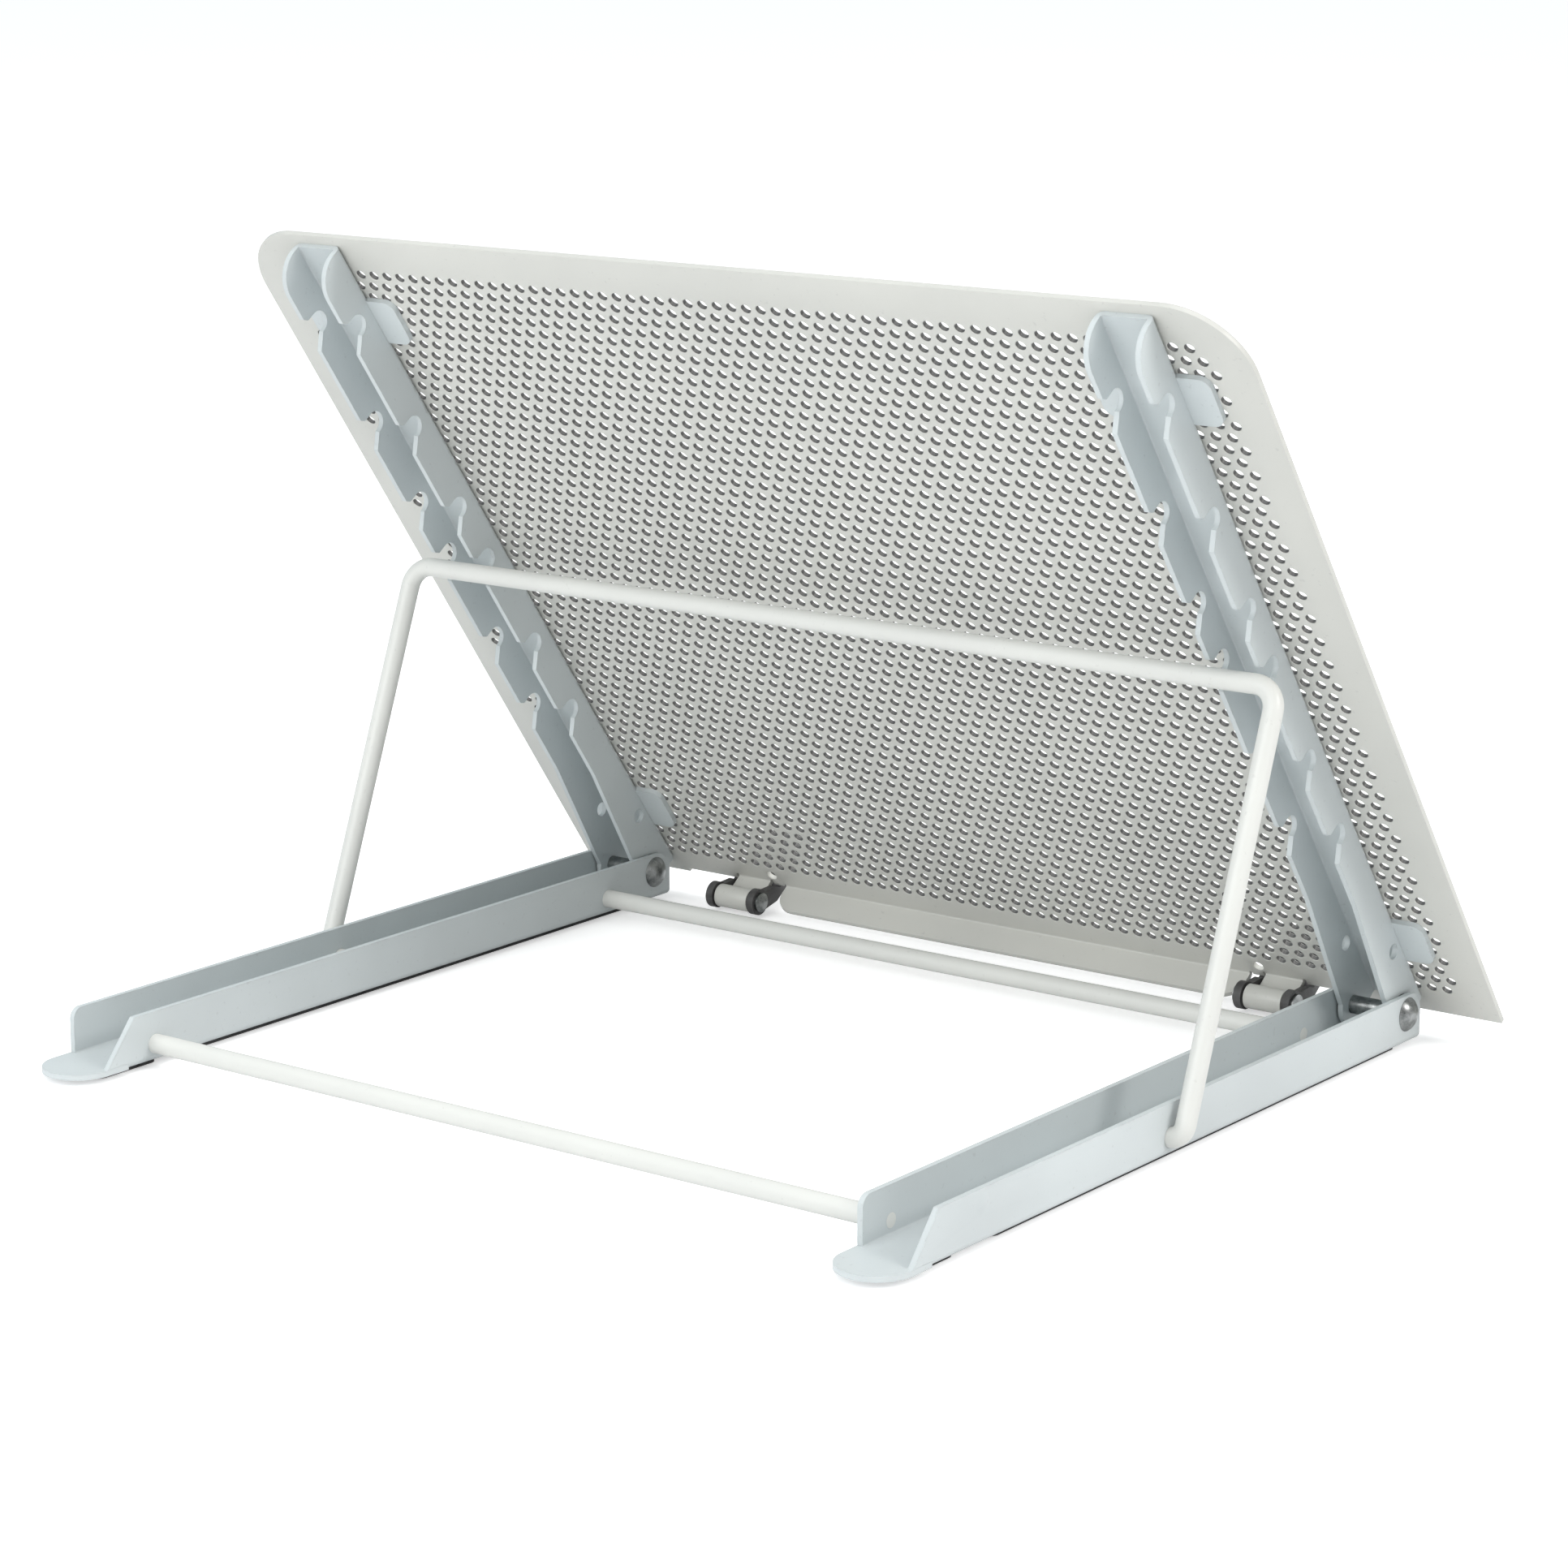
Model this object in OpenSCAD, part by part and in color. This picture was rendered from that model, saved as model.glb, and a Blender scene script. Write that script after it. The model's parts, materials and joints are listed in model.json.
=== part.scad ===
// Folding perforated steel stand for a laptop or tablet.
// A perforated plate hinges on two base rails and is propped by a wire bail.
// +X is the user's right, +Y the rear, +Z up. The origin is the centre of the footprint
// of the set-up stand, on the desk. Left and right parts are mirror images, apart from the
// rear ends of the base rail flanges.

/* [Plate] */
// Width of the plate
plate_w = 251; // [240:1:256]
// Depth of the plate along its slope, lower edge to upper edge
plate_len = 201; // [196:1:206]
// Sheet thickness of the plate and of the rails
sheet_t = 1.2; // [1:0.1:1.4]
// Outside radius of the bends of the rails
bend_r = 1.6; // [1.5:0.1:2.2]
// Radius of the two upper corners of the plate
plate_corner_r = 16; // [10:1:24]
// Distance the plate runs below the hinge axis
plate_below_hinge = 9.7; // [9:0.1:10]
// Height of the underside of the plate above the hinge axis, measured square to it
plate_rise = 9.25; // [9.2:0.05:9.5]
// Depth of the bent lip along the lower edge
lip_depth = 7; // [5:0.5:7.5]
// Half of the width of the lip
lip_half_w = 64; // [50:1:65]

/* [Perforation] */
// Diameter of one hole
hole_d = 6; // [3:0.1:6.2]
// Spacing of the holes along a row
hole_pitch = 10; // [9.4:0.1:14]
// Plain margin at each side
margin_side = 9.5; // [8:0.5:14]
// Plain margin along the upper edge
margin_top = 9; // [8:0.5:14]
// Plain margin along the lower edge
margin_bottom = 7.5; // [7:0.5:14]

/* [Upper rails] */
// Distance from the middle of the stand to the middle of each rail
rail_x = 102; // [101:0.5:103]
// Outside width of an upper rail
upper_w = 12.6; // [12.2:0.1:12.8]
// Height of the toothed flanges below the plate
upper_h = 9.6; // [8:0.1:9.6]
// Distance from the hinge axis to the top end of an upper rail
upper_len = 189; // [182:1:190]
// Depth of the notches
notch_depth = 5.8; // [4:0.1:6]
// Positions of the notches along the plate, steepest setting first
notch_s = [53, 75, 102, 118, 142.5, 172];
// Width of a notch, which has a rounded floor
notch_w = 5; // [4.6:0.1:5.6]
// Flare of the mouth of a notch on its lower side
notch_flare = 3; // [1:0.5:3]

/* [Base] */
// Outside width of a base rail
base_w = 16; // [16:0.1:16.4]
// Height of the base rail flanges above the desk
base_h = 12; // [11:0.5:12]
// Distance from the hinge axis back to the end of the flanges
flange_len = 177; // [174:1:180]
// Distance from the hinge axis back to the tip of the tongue
tongue_len = 190; // [190:1:194]
// Diameter of the cross rods
rod_d = 4.2; // [3.8:0.1:4.4]
// Distance from the hinge axis back to the front cross rod
front_rod_y = 18; // [16:1:40]
// Distance from the hinge axis back to the rear cross rod
rear_rod_y = 168; // [150:1:170]
// Height of the cross rod centres and of the bail pivot above the desk
rod_z = 5; // [5:0.1:5.2]
// Thickness of the rubber pads under the rails
pad_t = 1.2; // [1:0.1:1.5]

/* [Hinge] */
// Height of the hinge axis above the desk
hinge_z = 7.8; // [7.8:0.1:8]
// Diameter of the hinge rivet shank
rivet_d = 4; // [3.5:0.1:4.2]
// Diameter of the domed rivet head
rivet_head_d = 7.5; // [6.5:0.1:7.8]
// Height of the domed rivet head
rivet_head_h = 2; // [1.5:0.1:2.2]
// Radial running clearance of the pivots
run_clear = 0.05; // [0.03:0.01:0.08]

/* [Bail] */
// Distance from the hinge axis back to the bail pivot
bail_y = 95; // [94:0.5:96]
// Length of the bail, pivot axis to crossbar axis
bail_len = 90.5; // [90.5:0.5:91]
// Diameter of the bail rod
bail_d = 4.2; // [4:0.1:4.2]
// Gap between the crossbar and the tooth tips
bail_gap = 0.35; // [0.3:0.05:0.5]
// Bend radius of the two corners of the bail, to the rod centre
bail_corner_r = 5; // [5:0.5:12]

/* [Stops] */
// Distance from the middle of the stand to the middle of each stop
stop_x = 73; // [73:0.5:80]
// Width of a stop
stop_w = 14; // [13.5:0.5:15]
// Height of a stop above the face of the plate
stop_h = 16; // [10:0.5:18]
// Diameter of the stop pin
stop_pin_d = 3; // [2.6:0.1:3]
// Outside diameter of the stop eyes
stop_eye_d = 6.2; // [5.6:0.1:6.2]
// Length of the rolled knuckle that holds a stop
knuckle_w = 9.4; // [8:0.2:9.4]

/* [Pose] */
// Angle of the plate above the desk
plate_tilt = 54; // [0:1:64]

/* [Hidden] */

round_fn = 48;
hole_fn = 16;
eps = 0.02;

// The set-up geometry: the bail crossbar lies bail_gap outside the line of the tooth tips.
set_tilt = 54;
pivot_drop = hinge_z - rod_z;
bar_offset = upper_h + bail_d / 2 + bail_gap - plate_rise;
bar_sine = (bail_y * sin(set_tilt) + pivot_drop * cos(set_tilt) - bar_offset) / bail_len;
set_bail_angle = set_tilt + asin(bar_sine);
// The bail turns in proportion to the plate, so both lie flat together.
bail_ratio = set_bail_angle / set_tilt;
bail_angle = plate_tilt * bail_ratio;

// Plate-fixed coordinates: s runs up the slope from the hinge axis, n square to it.
s_low = -plate_below_hinge;
s_high = plate_len - plate_below_hinge;
face_n = plate_rise + sheet_t;
cut_s = s_low + 1;
cut_half_w = rail_x - base_w / 2 - 0.5;
locating_x = 67;
locating_d = 2.6;
knuckle_s = cut_s + 2.6;
knuckle_n = 1.4;
knuckle_r = 2.4;
hook_t = 1.8;
hook_gap = 0.4;
hook_in_s = cut_s - hook_gap;
hook_out_s = hook_in_s - hook_t;
hook_low_n = 6.2;
hook_top_n = face_n + stop_h;
stop_pad_w = stop_w - 4;
stop_pad_t = 1.1;
stop_pad_proud = 0.35;
stop_pad_low_n = face_n + 1.6;
stop_pad_h = stop_h - 5;

// Upper rails
ear_r = 4.6;
heel = 3.2;
taper_end_s = 34;
end_r = 7;
rail_hole_s = 14;
rail_hole_n = 5.2;
rail_hole_d = 3.4;
notch_flare_high = 1;

// Base rails
metal_z = pad_t;
web_top = metal_z + sheet_t;
rail_in_x = rail_x - base_w / 2;
rail_out_x = rail_x + base_w / 2;
front_y = -5.5;
tongue_r = base_w / 2;
slope_end = flange_len + 5;
tenon_d = 3;
dimple_y = 160;
dimple_z = 9.2;
dimple_r = 2.4;
dimple_h = 0.5;
pad_inset = 2.5;
rail_pad_len = 153;
tongue_pad_y = 165;
tongue_pad_len = 17;

// The footprint of the set-up stand is centred on the origin.
front_reach = hook_out_s * cos(set_tilt) - hook_top_n * sin(set_tilt);
hinge_y = -(tongue_len + front_reach) / 2;

// Bail
leg_gap = 0.7;
leg_x = rail_out_x + leg_gap + bail_d / 2;
pin_bend_r = leg_x - rail_out_x;
pin_reach = 6;

// Weld tabs of the upper rails
tab_s = [14, 168.5];
tab_len = 12;
tab_w = 7;
tab_r = 2.5;

SHEET = [0.86, 0.86, 0.84];
WIRE = [0.88, 0.88, 0.86];
STEEL = [0.72, 0.73, 0.74];
RUBBER = [0.12, 0.12, 0.12];
NYLON = [0.25, 0.25, 0.25];

// Puts children on the user's right (side = 1) or left (side = -1).
module on_side(side) {
    if (side > 0) {
        children();
    } else {
        mirror([1, 0, 0]) children();
    }
}

// Extrudes a profile drawn in (y, z) along X, from x to x + t.
module side_extrude(x, t) {
    translate([x, 0, 0]) rotate([90, 0, 90]) linear_extrude(height = t) children();
}

// A cylinder along X, from x to x + length, centred on (y, z).
module x_cylinder(x, length, y, z, r) {
    translate([x, y, z]) rotate([0, 90, 0]) cylinder(r = r, h = length, $fn = round_fn);
}

// Outline of a channel in its own (x, depth) plane, with two rounded corners on the x axis.
module channel_outline(width, depth, r) {
    translate([0, r]) square([width, depth - r]);
    translate([r, 0]) square([width - 2 * r, depth]);
    for (x = [r, width - r])
        translate([x, r]) circle(r = r, $fn = round_fn);
}

// Section of a bent channel: web on the x axis, flanges of the given depth.
module channel_section(width, depth) {
    difference() {
        channel_outline(width, depth, bend_r);
        translate([sheet_t, sheet_t])
            channel_outline(width - 2 * sheet_t, depth, bend_r - sheet_t);
    }
}

// Moves plate-fixed children to the hinge and tilts them.
module at_plate() {
    translate([0, hinge_y, hinge_z]) rotate([plate_tilt, 0, 0]) children();
}

// Moves children from hinge-based base coordinates to their place on the desk.
module at_base() {
    translate([0, hinge_y, 0]) children();
}

// Outline of the plate, rounded at the upper corners.
module plate_outline() {
    half = plate_w / 2;
    translate([-half, s_low]) square([plate_w, plate_len - plate_corner_r]);
    translate([-half + plate_corner_r, s_low])
        square([plate_w - 2 * plate_corner_r, plate_len]);
    for (sx = [-1, 1])
        translate([sx * (half - plate_corner_r), s_high - plate_corner_r])
            circle(r = plate_corner_r, $fn = round_fn);
}

// Staggered field of round holes.
module perforation() {
    row_step = hole_pitch * sin(60);
    s0 = s_low + margin_bottom;
    s1 = s_high - margin_top;
    x1 = plate_w / 2 - margin_side;
    corner = max(0, plate_corner_r - margin_top);
    rows = floor((s1 - s0) / row_step);
    cols = floor(x1 / hole_pitch);
    for (j = [0:rows], i = [-cols - 1:cols]) {
        x = (i + (j % 2) / 2) * hole_pitch;
        s = s0 + j * row_step;
        corner_dx = max(0, abs(x) - (x1 - corner));
        corner_ds = max(0, s - (s1 - corner));
        inside = abs(x) <= x1 && norm([corner_dx, corner_ds]) <= corner;
        if (inside)
            translate([x, s]) circle(d = hole_d, $fn = hole_fn);
    }
}

// Lip below the lower edge, with rounded lower corners.
module lip() {
    corner = 5;
    depth = lip_depth + sheet_t;
    translate([0, s_low + sheet_t, face_n]) rotate([90, 0, 0]) linear_extrude(height = sheet_t)
        difference() {
            translate([-lip_half_w, -depth]) square([2 * lip_half_w, depth]);
            for (sx = [-1, 1])
                translate([sx * lip_half_w, -depth])
                    mirror([sx > 0 ? 1 : 0, 0])
                        difference() {
                            translate([-1, -1]) square(corner + 1);
                            translate([corner, corner]) circle(r = corner, $fn = round_fn);
                        }
        }
}

// Rolled knuckle that carries one stop, hanging from the lower edge.
module knuckle() {
    x0 = stop_x - knuckle_w / 2;
    difference() {
        union() {
            translate([x0, cut_s, knuckle_n])
                cube([knuckle_w, sheet_t, face_n - knuckle_n - sheet_t / 2]);
            x_cylinder(x0, knuckle_w, knuckle_s, knuckle_n, knuckle_r);
        }
        x_cylinder(x0 - 1, knuckle_w + 2, knuckle_s, knuckle_n, stop_pin_d / 2 + run_clear);
    }
}

// The plate: perforated sheet, bent lip and two knuckles.
module perforated_plate() {
    notch_x = lip_half_w;
    color(SHEET) at_plate() {
        union() {
            translate([0, 0, plate_rise]) linear_extrude(height = sheet_t)
                difference() {
                    plate_outline();
                    perforation();
                    for (sx = [-1, 1])
                        translate([sx * (notch_x + cut_half_w) / 2, s_low])
                            square([cut_half_w - notch_x, 2 * (cut_s - s_low)], center = true);
                    for (sx = [-1, 1])
                        translate([sx * locating_x, cut_s + 2.5])
                            circle(d = locating_d, $fn = round_fn);
                }
            lip();
            for (side = [-1, 1]) on_side(side) knuckle();
        }
    }
}

// Side profile of a toothed flange in (s, n): ear at the hinge, straight taper, teeth.
module flange_profile() {
    tip_n = plate_rise - upper_h;
    difference() {
        union() {
            circle(r = ear_r, $fn = round_fn);
            polygon([
                [-ear_r + 0.2, 0], [-ear_r + 0.2, plate_rise], [upper_len, plate_rise],
                [upper_len, tip_n], [taper_end_s, tip_n], [heel, -heel]
            ]);
        }
        for (s = notch_s) notch_cut(s, tip_n);
        difference() {
            translate([upper_len - end_r, tip_n - 1]) square(end_r + 1);
            translate([upper_len - end_r, tip_n + end_r]) circle(r = end_r, $fn = round_fn);
        }
        circle(d = rivet_d + 2 * run_clear, $fn = round_fn);
        translate([rail_hole_s, rail_hole_n]) circle(d = rail_hole_d, $fn = round_fn);
    }
}

// One notch: a slot with a rounded floor and a flared mouth.
module notch_cut(s, tip_n) {
    r = notch_w / 2;
    floor_n = tip_n + notch_depth;
    translate([s - r, tip_n - 1]) square([notch_w, notch_depth - r + 1]);
    translate([s, floor_n - r]) circle(r = r, $fn = round_fn);
    polygon([
        [s - r - notch_flare, tip_n - 1], [s - r - notch_flare, tip_n], [s - r, tip_n + notch_flare],
        [s + r, tip_n + notch_flare_high], [s + r + notch_flare_high, tip_n],
        [s + r + notch_flare_high, tip_n - 1]
    ]);
}

// Outline of a rounded rectangle with its lower left corner at the origin.
module rounded_rect(width, height, r) {
    translate([r, 0]) square([width - 2 * r, height]);
    translate([0, r]) square([width, height - 2 * r]);
    for (x = [r, width - r], y = [r, height - r])
        translate([x, y]) circle(r = r, $fn = round_fn);
}

// Upper rail: bent channel that opens away from the plate, with four weld tabs.
module upper_rail() {
    x0 = rail_x - upper_w / 2;
    reach = plate_rise + ear_r;
    color(SHEET) at_plate() {
        union() {
            intersection() {
                translate([x0, upper_len, plate_rise]) rotate([90, 0, 0])
                    linear_extrude(height = upper_len + ear_r)
                        mirror([0, 1]) channel_section(upper_w, reach);
                side_extrude(x0 - 1, upper_w + 2) flange_profile();
            }
            for (s = tab_s)
                translate([x0 - tab_w, s - tab_len / 2, plate_rise - sheet_t])
                    linear_extrude(height = sheet_t)
                        rounded_rect(upper_w + 2 * tab_w, tab_len, tab_r);
        }
    }
}

module upper_rail_left() {
    on_side(-1) upper_rail();
}

module upper_rail_right() {
    on_side(1) upper_rail();
}

// Side profile of a base rail in (y, z), from its rounded front to the end of a flange.
// The rear end of the flange is square with a rounded corner, or sloped.
module base_flange_profile(sloped) {
    corner = 4;
    rear_corner = 2.5;
    slope_start = flange_len - 3;
    difference() {
        union() {
            translate([front_y + corner, metal_z])
                square([slope_end - front_y - corner, base_h - metal_z]);
            translate([front_y, metal_z]) square([corner + eps, base_h - metal_z - corner]);
            translate([front_y + corner, base_h - corner]) circle(r = corner, $fn = round_fn);
        }
        if (sloped) {
            polygon([
                [slope_start, base_h + 1], [slope_start, base_h], [slope_end, web_top],
                [slope_end + 1, web_top], [slope_end + 1, base_h + 1]
            ]);
        } else {
            difference() {
                translate([flange_len - rear_corner, web_top])
                    square([slope_end + 1 - flange_len + rear_corner, base_h - web_top + 1]);
                translate([flange_len - rear_corner - 1, metal_z])
                    square([rear_corner + 1, base_h - metal_z - rear_corner]);
                translate([flange_len - rear_corner, base_h - rear_corner])
                    circle(r = rear_corner, $fn = round_fn);
            }
        }
    }
}

// Flat tongue at the rear of a base rail, in (x, y).
module tongue_outline() {
    translate([rail_in_x, flange_len - 1])
        square([base_w, tongue_len - tongue_r - flange_len + 1]);
    translate([rail_x, tongue_len - tongue_r]) circle(r = tongue_r, $fn = round_fn);
}

// Base rail: bent channel that opens upwards and ends in a flat rounded tongue.
// The flange at the lower x has the sloped end on both rails.
module base_rail(sloped_outside) {
    color(SHEET) at_base() {
        difference() {
            union() {
                intersection() {
                    translate([rail_in_x, slope_end, metal_z]) rotate([90, 0, 0])
                        linear_extrude(height = slope_end - front_y)
                            channel_section(base_w, base_h - metal_z + 1);
                    union() {
                        side_extrude(rail_in_x - 1, base_w / 2 + 1)
                            base_flange_profile(!sloped_outside);
                        side_extrude(rail_x, base_w / 2 + 1)
                            base_flange_profile(sloped_outside);
                    }
                }
                translate([0, 0, metal_z]) linear_extrude(height = sheet_t) tongue_outline();
                translate([rail_out_x - eps, dimple_y, dimple_z]) rotate([0, 90, 0])
                    dome(dimple_r, dimple_h);
            }
            for (y = [front_rod_y, rear_rod_y])
                x_cylinder(rail_in_x - 1, sheet_t + 1.5, y, rod_z, tenon_d / 2);
            x_cylinder(rail_out_x - sheet_t - 1, sheet_t + 2, bail_y, rod_z,
                bail_d / 2 + run_clear);
            x_cylinder(rail_in_x - 1, base_w + 2, 0, hinge_z, rivet_d / 2);
        }
    }
}

module base_rail_left() {
    on_side(-1) base_rail(true);
}

module base_rail_right() {
    on_side(1) base_rail(false);
}

// Cross rod between the base rails, with a turned-down end riveted into each inner flange.
module cross_rod(y) {
    reach = rail_in_x + sheet_t;
    color(WIRE) at_base() {
        union() {
            x_cylinder(-rail_in_x, 2 * rail_in_x, y, rod_z, rod_d / 2);
            x_cylinder(-reach, 2 * reach, y, rod_z, tenon_d / 2);
        }
    }
}

module front_cross_rod() {
    cross_rod(front_rod_y);
}

module rear_cross_rod() {
    cross_rod(rear_rod_y);
}

// Domed head, flat face down at z = 0.
module dome(r, h) {
    sphere_r = (r * r + h * h) / (2 * h);
    intersection() {
        translate([0, 0, h - sphere_r]) sphere(r = sphere_r, $fn = 64);
        cylinder(r = r + 1, h = h + 1, $fn = round_fn);
    }
}

// Hinge rivet: shank through all four flanges and a domed head at each end.
module hinge_rivet() {
    color(STEEL) at_base() {
        union() {
            x_cylinder(rail_in_x - eps, base_w + 2 * eps, 0, hinge_z, rivet_d / 2);
            translate([rail_out_x, 0, hinge_z]) rotate([0, 90, 0])
                dome(rivet_head_d / 2, rivet_head_h);
            translate([rail_in_x, 0, hinge_z]) rotate([0, -90, 0])
                dome(rivet_head_d / 2, rivet_head_h);
        }
    }
}

module hinge_rivet_left() {
    on_side(-1) hinge_rivet();
}

module hinge_rivet_right() {
    on_side(1) hinge_rivet();
}

// Four thin washers between the flanges of the upper and the base rails.
module hinge_washers() {
    washer_r = 4.2;
    washer_t = 0.3;
    slack = ((base_w - upper_w) / 2 - sheet_t - washer_t) / 2;
    color(NYLON) at_base() {
        for (side = [-1, 1]) on_side(side)
            for (x = [rail_in_x + sheet_t + slack, rail_out_x - sheet_t - slack - washer_t])
                difference() {
                    x_cylinder(x, washer_t, 0, hinge_z, washer_r);
                    x_cylinder(x - 1, washer_t + 2, 0, hinge_z, rivet_d / 2 + run_clear);
                }
    }
}

// One half of the bail, lying flat along +Y from its pivot axis.
module bail_half() {
    r = bail_d / 2;
    x_cylinder(rail_out_x - pin_reach, pin_reach, 0, 0, r);
    translate([rail_out_x, pin_bend_r, 0]) rotate([0, 0, -90]) rotate_extrude(angle = 90)
        translate([pin_bend_r, 0]) circle(r = r, $fn = round_fn);
    translate([leg_x, pin_bend_r, 0]) rotate([-90, 0, 0])
        cylinder(r = r, h = bail_len - pin_bend_r - bail_corner_r, $fn = round_fn);
    translate([leg_x - bail_corner_r, bail_len - bail_corner_r, 0]) rotate_extrude(angle = 90)
        translate([bail_corner_r, 0]) circle(r = r, $fn = round_fn);
    x_cylinder(-eps, leg_x - bail_corner_r + eps, bail_len, 0, r);
}

// Wire bail that props the plate.
module support_bail() {
    color(WIRE) translate([0, hinge_y + bail_y, rod_z]) rotate([bail_angle, 0, 0]) {
        union() {
            bail_half();
            mirror([1, 0, 0]) bail_half();
        }
    }
}

// Side profile of a stop arm in (s, n): an eye and a short arm round the lower edge.
module hook_arm_profile() {
    difference() {
        union() {
            translate([knuckle_s, knuckle_n]) circle(d = stop_eye_d, $fn = round_fn);
            polygon([
                [hook_out_s, hook_low_n], [knuckle_s - 2.2, knuckle_n - 1.4],
                [knuckle_s + 1.2, knuckle_n + 2.2], [knuckle_s - 1.6, hook_low_n + 1.8],
                [hook_in_s, hook_low_n + 2.8], [hook_out_s, hook_low_n + 2.8]
            ]);
        }
        translate([knuckle_s, knuckle_n]) circle(d = stop_pin_d, $fn = round_fn);
    }
}

// Front wall of a stop in (x, n), rounded at its upper corners.
module hook_wall_profile() {
    corner = 5;
    height = hook_top_n - hook_low_n;
    translate([stop_x - stop_w / 2, hook_low_n]) square([stop_w, height - corner]);
    translate([stop_x - stop_w / 2 + corner, hook_low_n]) square([stop_w - 2 * corner, height]);
    for (sx = [-1, 1])
        translate([stop_x + sx * (stop_w / 2 - corner), hook_top_n - corner])
            circle(r = corner, $fn = round_fn);
}

// Flip-down stop: two eyes on the pin, arms round the lower edge and a front wall
// with a recess for the pad.
module stop_hook() {
    arm_t = 1.9;
    color(NYLON) at_plate() {
        difference() {
            union() {
                side_extrude(stop_x - stop_w / 2, arm_t) hook_arm_profile();
                side_extrude(stop_x + stop_w / 2 - arm_t, arm_t) hook_arm_profile();
                translate([0, hook_in_s, 0]) rotate([90, 0, 0]) linear_extrude(height = hook_t)
                    hook_wall_profile();
            }
            stop_pad_block(1);
        }
    }
}

module stop_hook_left() {
    on_side(-1) stop_hook();
}

module stop_hook_right() {
    on_side(1) stop_hook();
}

// Block of a stop pad, made thicker by extra on its free face.
module stop_pad_block(extra) {
    translate([stop_x - stop_pad_w / 2, hook_in_s + stop_pad_proud - stop_pad_t, stop_pad_low_n])
        cube([stop_pad_w, stop_pad_t + extra, stop_pad_h]);
}

// Soft pad let into the inner face of a stop.
module stop_pad() {
    color(RUBBER) at_plate() stop_pad_block(0);
}

module stop_pad_left() {
    on_side(-1) stop_pad();
}

module stop_pad_right() {
    on_side(1) stop_pad();
}

// Pin through the eyes of a stop and the knuckle of the plate.
module stop_pin() {
    head_t = 0.6;
    x0 = stop_x - stop_w / 2;
    color(STEEL) at_plate() {
        union() {
            x_cylinder(x0 - eps, stop_w + 2 * eps, knuckle_s, knuckle_n, stop_pin_d / 2);
            x_cylinder(x0 - head_t, head_t, knuckle_s, knuckle_n, stop_pin_d / 2 + 0.8);
            x_cylinder(x0 + stop_w, head_t, knuckle_s, knuckle_n, stop_pin_d / 2 + 0.8);
        }
    }
}

module stop_pin_left() {
    on_side(-1) stop_pin();
}

module stop_pin_right() {
    on_side(1) stop_pin();
}

// Rubber pad under a base rail, from y to y + length.
module base_pad(y, length) {
    pad_w = base_w - 2 * pad_inset;
    pad_r = 2;
    color(RUBBER) at_base() translate([rail_x - pad_w / 2, y, 0]) linear_extrude(height = pad_t)
        rounded_rect(pad_w, length, pad_r);
}

// Long rubber strip under a base rail.
module rail_pad() {
    base_pad(0, rail_pad_len);
}

module rail_pad_left() {
    on_side(-1) rail_pad();
}

module rail_pad_right() {
    on_side(1) rail_pad();
}

// Short rubber pad under the tongue of a base rail.
module tongue_pad() {
    base_pad(tongue_pad_y, tongue_pad_len);
}

module tongue_pad_left() {
    on_side(-1) tongue_pad();
}

module tongue_pad_right() {
    on_side(1) tongue_pad();
}

perforated_plate();
upper_rail_left();
upper_rail_right();
base_rail_left();
base_rail_right();
front_cross_rod();
rear_cross_rod();
hinge_rivet_left();
hinge_rivet_right();
hinge_washers();
support_bail();
stop_hook_left();
stop_hook_right();
stop_pad_left();
stop_pad_right();
stop_pin_left();
stop_pin_right();
rail_pad_left();
rail_pad_right();
tongue_pad_left();
tongue_pad_right();
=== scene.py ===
"""Looks of the folding perforated stand: fine perforated panel, rounded edges, paint and a studio."""
import json
import math

import bmesh
import bpy
import numpy as np
from mathutils import Matrix, Vector
from mathutils.geometry import delaunay_2d_cdt
from mathutils.kdtree import KDTree


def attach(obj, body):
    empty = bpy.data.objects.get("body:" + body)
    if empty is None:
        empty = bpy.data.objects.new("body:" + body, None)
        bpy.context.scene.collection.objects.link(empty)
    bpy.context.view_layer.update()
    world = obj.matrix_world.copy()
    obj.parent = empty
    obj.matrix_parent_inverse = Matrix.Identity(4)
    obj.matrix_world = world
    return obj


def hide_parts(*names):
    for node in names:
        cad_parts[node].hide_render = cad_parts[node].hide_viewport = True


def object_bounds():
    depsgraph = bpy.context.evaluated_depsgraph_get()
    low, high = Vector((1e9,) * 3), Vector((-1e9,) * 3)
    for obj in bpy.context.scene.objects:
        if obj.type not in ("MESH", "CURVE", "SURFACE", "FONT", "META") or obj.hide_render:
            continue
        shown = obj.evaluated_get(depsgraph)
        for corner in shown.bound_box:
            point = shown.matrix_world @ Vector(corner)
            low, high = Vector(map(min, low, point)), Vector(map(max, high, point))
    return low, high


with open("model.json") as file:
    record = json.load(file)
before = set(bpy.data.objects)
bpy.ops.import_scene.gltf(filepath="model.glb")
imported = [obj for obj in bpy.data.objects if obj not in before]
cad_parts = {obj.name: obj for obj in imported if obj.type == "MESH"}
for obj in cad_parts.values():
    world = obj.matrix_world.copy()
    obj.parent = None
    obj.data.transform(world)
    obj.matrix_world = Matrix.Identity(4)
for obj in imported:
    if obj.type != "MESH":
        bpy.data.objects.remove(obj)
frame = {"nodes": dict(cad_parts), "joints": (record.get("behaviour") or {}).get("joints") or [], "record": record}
cad_low, cad_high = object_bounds()

MM = 0.001
JOINTS = {joint["name"]: joint for joint in frame["joints"]}
HINGE = Vector(JOINTS["plate_tilt"]["pos_m"])
TILT = -math.radians(JOINTS["plate_tilt"]["range_deg"][0])
STOP_PIN = Vector(JOINTS["stop_fold_right"]["pos_m"])

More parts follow.
